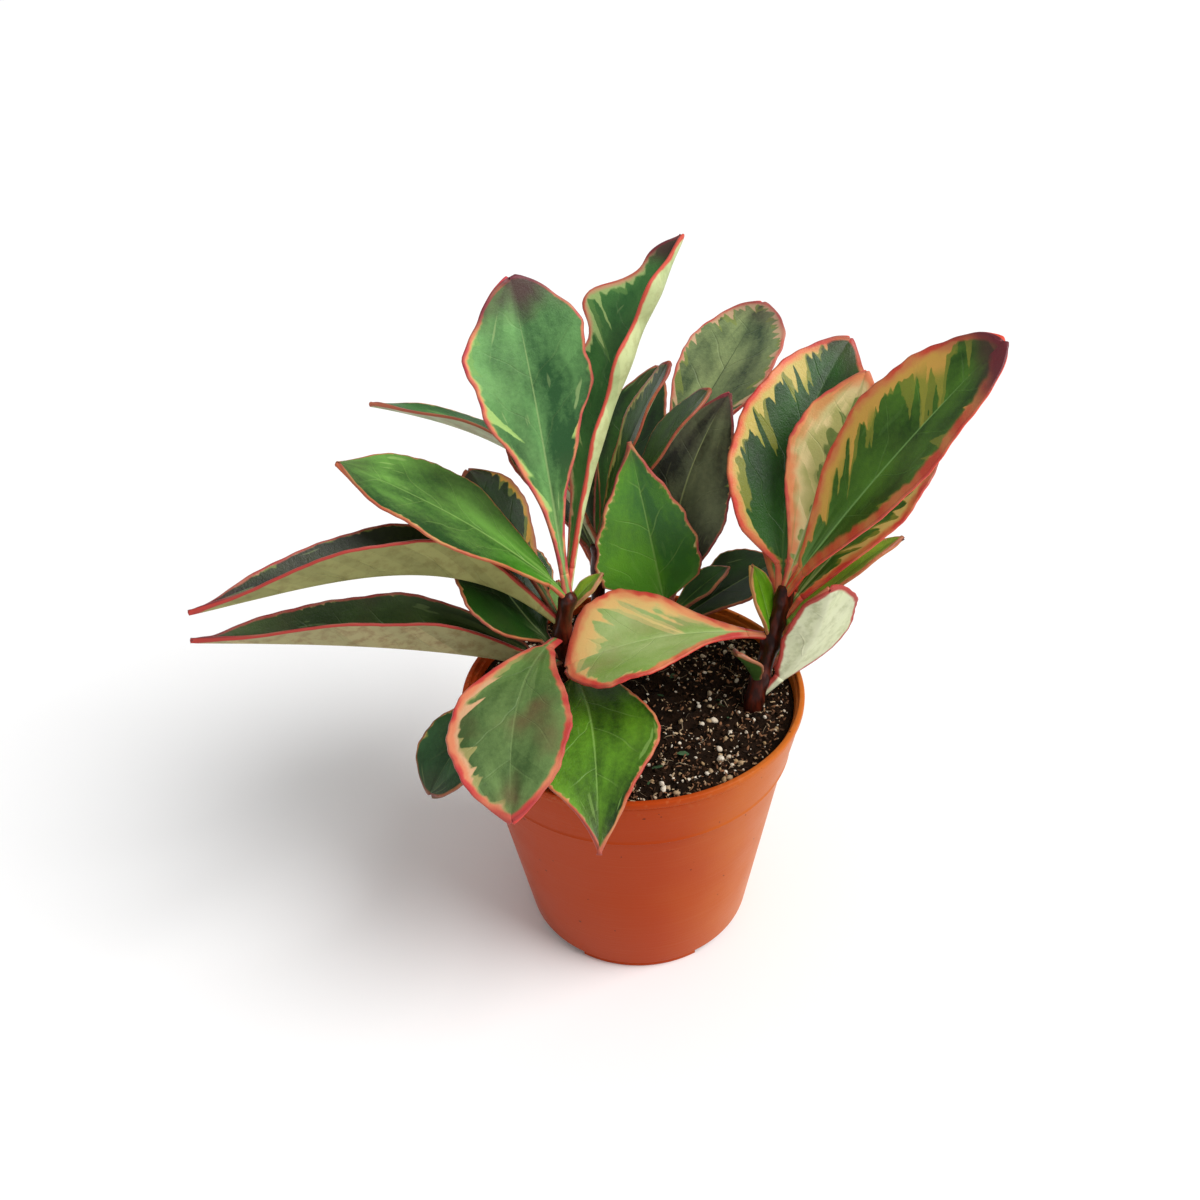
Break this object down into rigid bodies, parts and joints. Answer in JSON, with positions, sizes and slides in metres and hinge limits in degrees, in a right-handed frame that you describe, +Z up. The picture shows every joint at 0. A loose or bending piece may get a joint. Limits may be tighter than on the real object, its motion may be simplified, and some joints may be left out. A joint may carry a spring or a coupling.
{
  "type": "potted peperomia plant",
  "caption": "Small potted foliage plant with fleshy, red-edged, cream-variegated leaves on short stems in a tapered round nursery pot; stands freely as decoration.",
  "frame": {"origin": "centre of the pot's foot, on the plane it stands on", "axes": "+Z up along the pot's axis; -Y towards the front, where the lowest leaves hang over the rim; +X to the right seen from the front"},
  "size_m": [0.2421, 0.1815, 0.2408],
  "materials": {
    "pot": "satin moulded polypropylene, terracotta orange",
    "soil": null,
    "stem": null,
    "leaf": null
  },
  "bodies": {
    "root": {"leaf_back_1": "leaf", "leaf_back_2": "leaf", "leaf_back_3": "leaf", "leaf_back_4": "leaf", "leaf_back_5": "leaf", "leaf_back_6": "leaf", "leaf_back_7": "leaf", "leaf_left_1": "leaf", "leaf_left_10": "leaf", "leaf_left_2": "leaf", "leaf_left_3": "leaf", "leaf_left_4": "leaf", "leaf_left_5": "leaf", "leaf_left_6": "leaf", "leaf_left_7": "leaf", "leaf_left_8": "leaf", "leaf_left_9": "leaf", "leaf_middle_1": "leaf", "leaf_middle_2": "leaf", "leaf_middle_4": "leaf", "leaf_middle_5": "leaf", "leaf_middle_6": "leaf", "leaf_right_1": "leaf", "leaf_right_10": "leaf", "leaf_right_11": "leaf", "leaf_right_2": "leaf", "leaf_right_3": "leaf", "leaf_right_4": "leaf", "leaf_right_5": "leaf", "leaf_right_6": "leaf", "leaf_right_7": "leaf", "pot": "pot", "soil": "soil", "stem_back": "stem", "stem_left": "stem", "stem_middle": "stem", "stem_right": "stem"}
  },
  "joints": []
}
